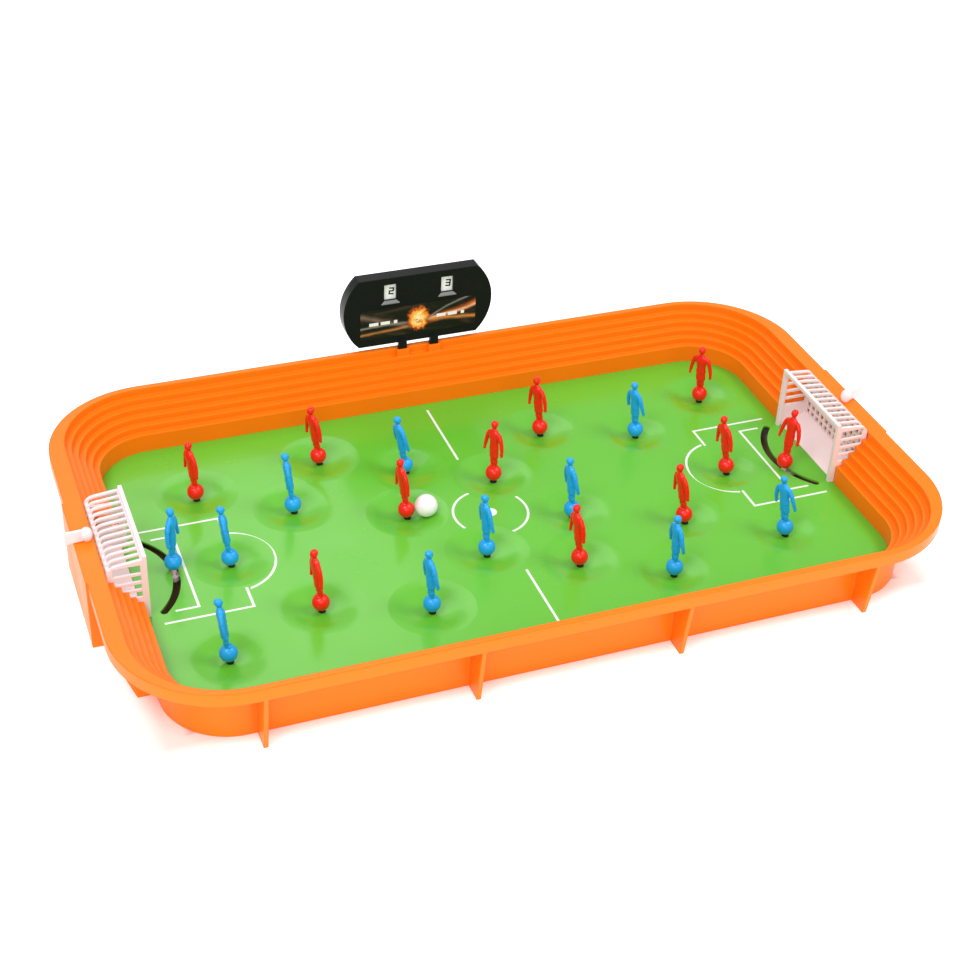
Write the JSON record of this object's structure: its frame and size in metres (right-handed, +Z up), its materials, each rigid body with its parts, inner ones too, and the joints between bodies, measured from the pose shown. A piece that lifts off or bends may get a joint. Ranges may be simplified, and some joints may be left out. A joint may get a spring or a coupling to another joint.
{
  "type": "foosball table",
  "caption": "Tabletop spring football game: stepped orange tray, green pitch, sprung red and blue footballers, white goals with keeper levers and a plug-in scoreboard.",
  "frame": {"origin": "floor level under the centre of the overall bounding box", "axes": "+X along the pitch towards the red goal, +Y across it towards the scoreboard, +Z up"},
  "size_m": [0.6142, 0.367, 0.119],
  "materials": {
    "tray_orange": "glossy moulded orange plastic",
    "pitch_green": "glossy green plastic sheet with white printed lines",
    "red_plastic": "moulded red plastic",
    "blue_plastic": "moulded blue plastic",
    "white_plastic": "moulded white plastic",
    "ball_white": "smooth white plastic",
    "dial_white": "white disc printed with black digits",
    "black_plastic": "glossy black plastic",
    "label_print": "dark gloss label with warm streaks",
    "spring_black": "black coated wire",
    "screw_steel": "plain steel"
  },
  "bodies": {
    "base": {"tray": "tray_orange", "pitch": "pitch_green", "goal_red": "white_plastic", "goal_blue": "white_plastic", "spring_red_1": "spring_black", "spring_red_2": "spring_black", "spring_red_3": "spring_black", "spring_red_4": "spring_black", "spring_red_5": "spring_black", "spring_red_6": "spring_black", "spring_red_7": "spring_black", "spring_red_8": "spring_black", "spring_red_9": "spring_black", "spring_red_10": "spring_black", "spring_blue_1": "spring_black", "spring_blue_2": "spring_black", "spring_blue_3": "spring_black", "spring_blue_4": "spring_black", "spring_blue_5": "spring_black", "spring_blue_6": "spring_black", "spring_blue_7": "spring_black", "spring_blue_8": "spring_black", "spring_blue_9": "spring_black", "spring_blue_10": "spring_black"},
    "footballer_red_1": {"player_red_1": "red_plastic"},
    "footballer_red_2": {"player_red_2": "red_plastic"},
    "footballer_red_3": {"player_red_3": "red_plastic"},
    "footballer_red_4": {"player_red_4": "red_plastic"},
    "footballer_red_5": {"player_red_5": "red_plastic"},
    "footballer_red_6": {"player_red_6": "red_plastic"},
    "footballer_red_7": {"player_red_7": "red_plastic"},
    "footballer_red_8": {"player_red_8": "red_plastic"},
    "footballer_red_9": {"player_red_9": "red_plastic"},
    "footballer_red_10": {"player_red_10": "red_plastic"},
    "footballer_blue_1": {"player_blue_1": "blue_plastic"},
    "footballer_blue_2": {"player_blue_2": "blue_plastic"},
    "footballer_blue_3": {"player_blue_3": "blue_plastic"},
    "footballer_blue_4": {"player_blue_4": "blue_plastic"},
    "footballer_blue_5": {"player_blue_5": "blue_plastic"},
    "footballer_blue_6": {"player_blue_6": "blue_plastic"},
    "footballer_blue_7": {"player_blue_7": "blue_plastic"},
    "footballer_blue_8": {"player_blue_8": "blue_plastic"},
    "footballer_blue_9": {"player_blue_9": "blue_plastic"},
    "footballer_blue_10": {"player_blue_10": "blue_plastic"},
    "goalkeeper_red": {"arm_red": "white_plastic", "knob_red": "white_plastic", "screw_red": "screw_steel", "keeper_red": "red_plastic"},
    "goalkeeper_blue": {"arm_blue": "white_plastic", "knob_blue": "white_plastic", "screw_blue": "screw_steel", "keeper_blue": "blue_plastic"},
    "scoreboard": {"scoreboard_case": "black_plastic", "scoreboard_back": "black_plastic", "score_label": "label_print"},
    "left_score": {"dial_left": "dial_white"},
    "right_score": {"dial_right": "dial_white"},
    "play_ball": {"ball": "ball_white"}
  },
  "joints": [
    {"name": "red_1_tilt", "type": "hinge", "parent": "base", "child": "footballer_red_1", "pos_m": [-0.2, 0.0825, 0.0082], "axis": [0, 1, 0], "range_deg": [-20, 20], "stiffness_Nm_per_rad": 0.06, "deforming": ["spring_red_1"]},
    {"name": "red_2_tilt", "type": "hinge", "parent": "base", "child": "footballer_red_2", "pos_m": [-0.148, -0.069, 0.0082], "axis": [0, 1, 0], "range_deg": [-20, 20], "stiffness_Nm_per_rad": 0.06, "deforming": ["spring_red_2"]},
    {"name": "red_3_tilt", "type": "hinge", "parent": "base", "child": "footballer_red_3", "pos_m": [-0.1005, 0.1005, 0.0082], "axis": [0, 1, 0], "range_deg": [-20, 20], "stiffness_Nm_per_rad": 0.06, "deforming": ["spring_red_3"]},
    {"name": "red_4_tilt", "type": "hinge", "parent": "base", "child": "footballer_red_4", "pos_m": [-0.0585, 0.0145, 0.0082], "axis": [0, 1, 0], "range_deg": [-20, 0], "stiffness_Nm_per_rad": 0.06, "deforming": ["spring_red_4"]},
    {"name": "red_5_tilt", "type": "hinge", "parent": "base", "child": "footballer_red_5", "pos_m": [0.0185, 0.0388, 0.0082], "axis": [0, 1, 0], "range_deg": [-20, 20], "stiffness_Nm_per_rad": 0.06, "deforming": ["spring_red_5"]},
    {"name": "red_6_tilt", "type": "hinge", "parent": "base", "child": "footballer_red_6", "pos_m": [0.041, -0.0765, 0.0082], "axis": [0, 1, 0], "range_deg": [-20, 20], "stiffness_Nm_per_rad": 0.06, "deforming": ["spring_red_6"]},
    {"name": "red_7_tilt", "type": "hinge", "parent": "base", "child": "footballer_red_7", "pos_m": [0.0765, 0.0865, 0.0082], "axis": [0, 1, 0], "range_deg": [-20, 20], "stiffness_Nm_per_rad": 0.06, "deforming": ["spring_red_7"]},
    {"name": "red_8_tilt", "type": "hinge", "parent": "base", "child": "footballer_red_8", "pos_m": [0.1357, -0.0529, 0.0082], "axis": [0, 1, 0], "range_deg": [-20, 20], "stiffness_Nm_per_rad": 0.06, "deforming": ["spring_red_8"]},
    {"name": "red_9_tilt", "type": "hinge", "parent": "base", "child": "footballer_red_9", "pos_m": [0.1945, -0.0055, 0.0082], "axis": [0, 1, 0], "range_deg": [-20, 20], "stiffness_Nm_per_rad": 0.06, "deforming": ["spring_red_9"]},
    {"name": "red_10_tilt", "type": "hinge", "parent": "base", "child": "footballer_red_10", "pos_m": [0.22, 0.094, 0.0082], "axis": [0, 1, 0], "range_deg": [-20, 20], "stiffness_Nm_per_rad": 0.06, "deforming": ["spring_red_10"]},
    {"name": "blue_1_tilt", "type": "hinge", "parent": "base", "child": "footballer_blue_1", "pos_m": [-0.22, -0.101, 0.0082], "axis": [0, 1, 0], "range_deg": [-20, 20], "stiffness_Nm_per_rad": 0.06, "deforming": ["spring_blue_1"]},
    {"name": "blue_2_tilt", "type": "hinge", "parent": "base", "child": "footballer_blue_2", "pos_m": [-0.1945, -0.0015, 0.0082], "axis": [0, 1, 0], "range_deg": [-20, 20], "stiffness_Nm_per_rad": 0.06, "deforming": ["spring_blue_2"]},
    {"name": "blue_3_tilt", "type": "hinge", "parent": "base", "child": "footballer_blue_3", "pos_m": [-0.1357, 0.0459, 0.0082], "axis": [0, 1, 0], "range_deg": [-20, 20], "stiffness_Nm_per_rad": 0.06, "deforming": ["spring_blue_3"]},
    {"name": "blue_4_tilt", "type": "hinge", "parent": "base", "child": "footballer_blue_4", "pos_m": [-0.0765, -0.0935, 0.0082], "axis": [0, 1, 0], "range_deg": [-20, 20], "stiffness_Nm_per_rad": 0.06, "deforming": ["spring_blue_4"]},
    {"name": "blue_5_tilt", "type": "hinge", "parent": "base", "child": "footballer_blue_5", "pos_m": [-0.041, 0.0695, 0.0082], "axis": [0, 1, 0], "range_deg": [-20, 20], "stiffness_Nm_per_rad": 0.06, "deforming": ["spring_blue_5"]},
    {"name": "blue_6_tilt", "type": "hinge", "parent": "base", "child": "footballer_blue_6", "pos_m": [-0.0185, -0.0458, 0.0082], "axis": [0, 1, 0], "range_deg": [-20, 20], "stiffness_Nm_per_rad": 0.06, "deforming": ["spring_blue_6"]},
    {"name": "blue_7_tilt", "type": "hinge", "parent": "base", "child": "footballer_blue_7", "pos_m": [0.0585, -0.0215, 0.0082], "axis": [0, 1, 0], "range_deg": [-20, 20], "stiffness_Nm_per_rad": 0.06, "deforming": ["spring_blue_7"]},
    {"name": "blue_8_tilt", "type": "hinge", "parent": "base", "child": "footballer_blue_8", "pos_m": [0.1005, -0.1075, 0.0082], "axis": [0, 1, 0], "range_deg": [-20, 20], "stiffness_Nm_per_rad": 0.06, "deforming": ["spring_blue_8"]},
    {"name": "blue_9_tilt", "type": "hinge", "parent": "base", "child": "footballer_blue_9", "pos_m": [0.148, 0.062, 0.0082], "axis": [0, 1, 0], "range_deg": [-20, 20], "stiffness_Nm_per_rad": 0.06, "deforming": ["spring_blue_9"]},
    {"name": "blue_10_tilt", "type": "hinge", "parent": "base", "child": "footballer_blue_10", "pos_m": [0.2, -0.0895, 0.0082], "axis": [0, 1, 0], "range_deg": [-20, 20], "stiffness_Nm_per_rad": 0.06, "deforming": ["spring_blue_10"]},
    {"name": "keeper_red_turn", "type": "hinge", "parent": "base", "child": "goalkeeper_red", "pos_m": [0.292, -0.0035, 0.03], "axis": [0, 0, 1], "range_deg": [-55.8, 26.2]},
    {"name": "keeper_blue_turn", "type": "hinge", "parent": "base", "child": "goalkeeper_blue", "pos_m": [-0.292, -0.0035, 0.03], "axis": [0, 0, 1], "range_deg": [-42, 37.4]},
    {"name": "scoreboard_lift", "type": "slide", "parent": "base", "child": "scoreboard", "axis": [0, 0, 1], "range_m": [0, 0.03]},
    {"name": "left_score_turn", "type": "hinge", "parent": "scoreboard", "child": "left_score", "pos_m": [-0.021, 0.1795, 0.0898], "axis": [0, 1, 0], "continuous": true},
    {"name": "right_score_turn", "type": "hinge", "parent": "scoreboard", "child": "right_score", "pos_m": [0.026, 0.1795, 0.0898], "axis": [0, 1, 0], "continuous": true},
    {"name": "ball_lift", "type": "slide", "parent": "base", "child": "play_ball", "axis": [0, 0, 1], "range_m": [0, 0.08]}
  ]
}
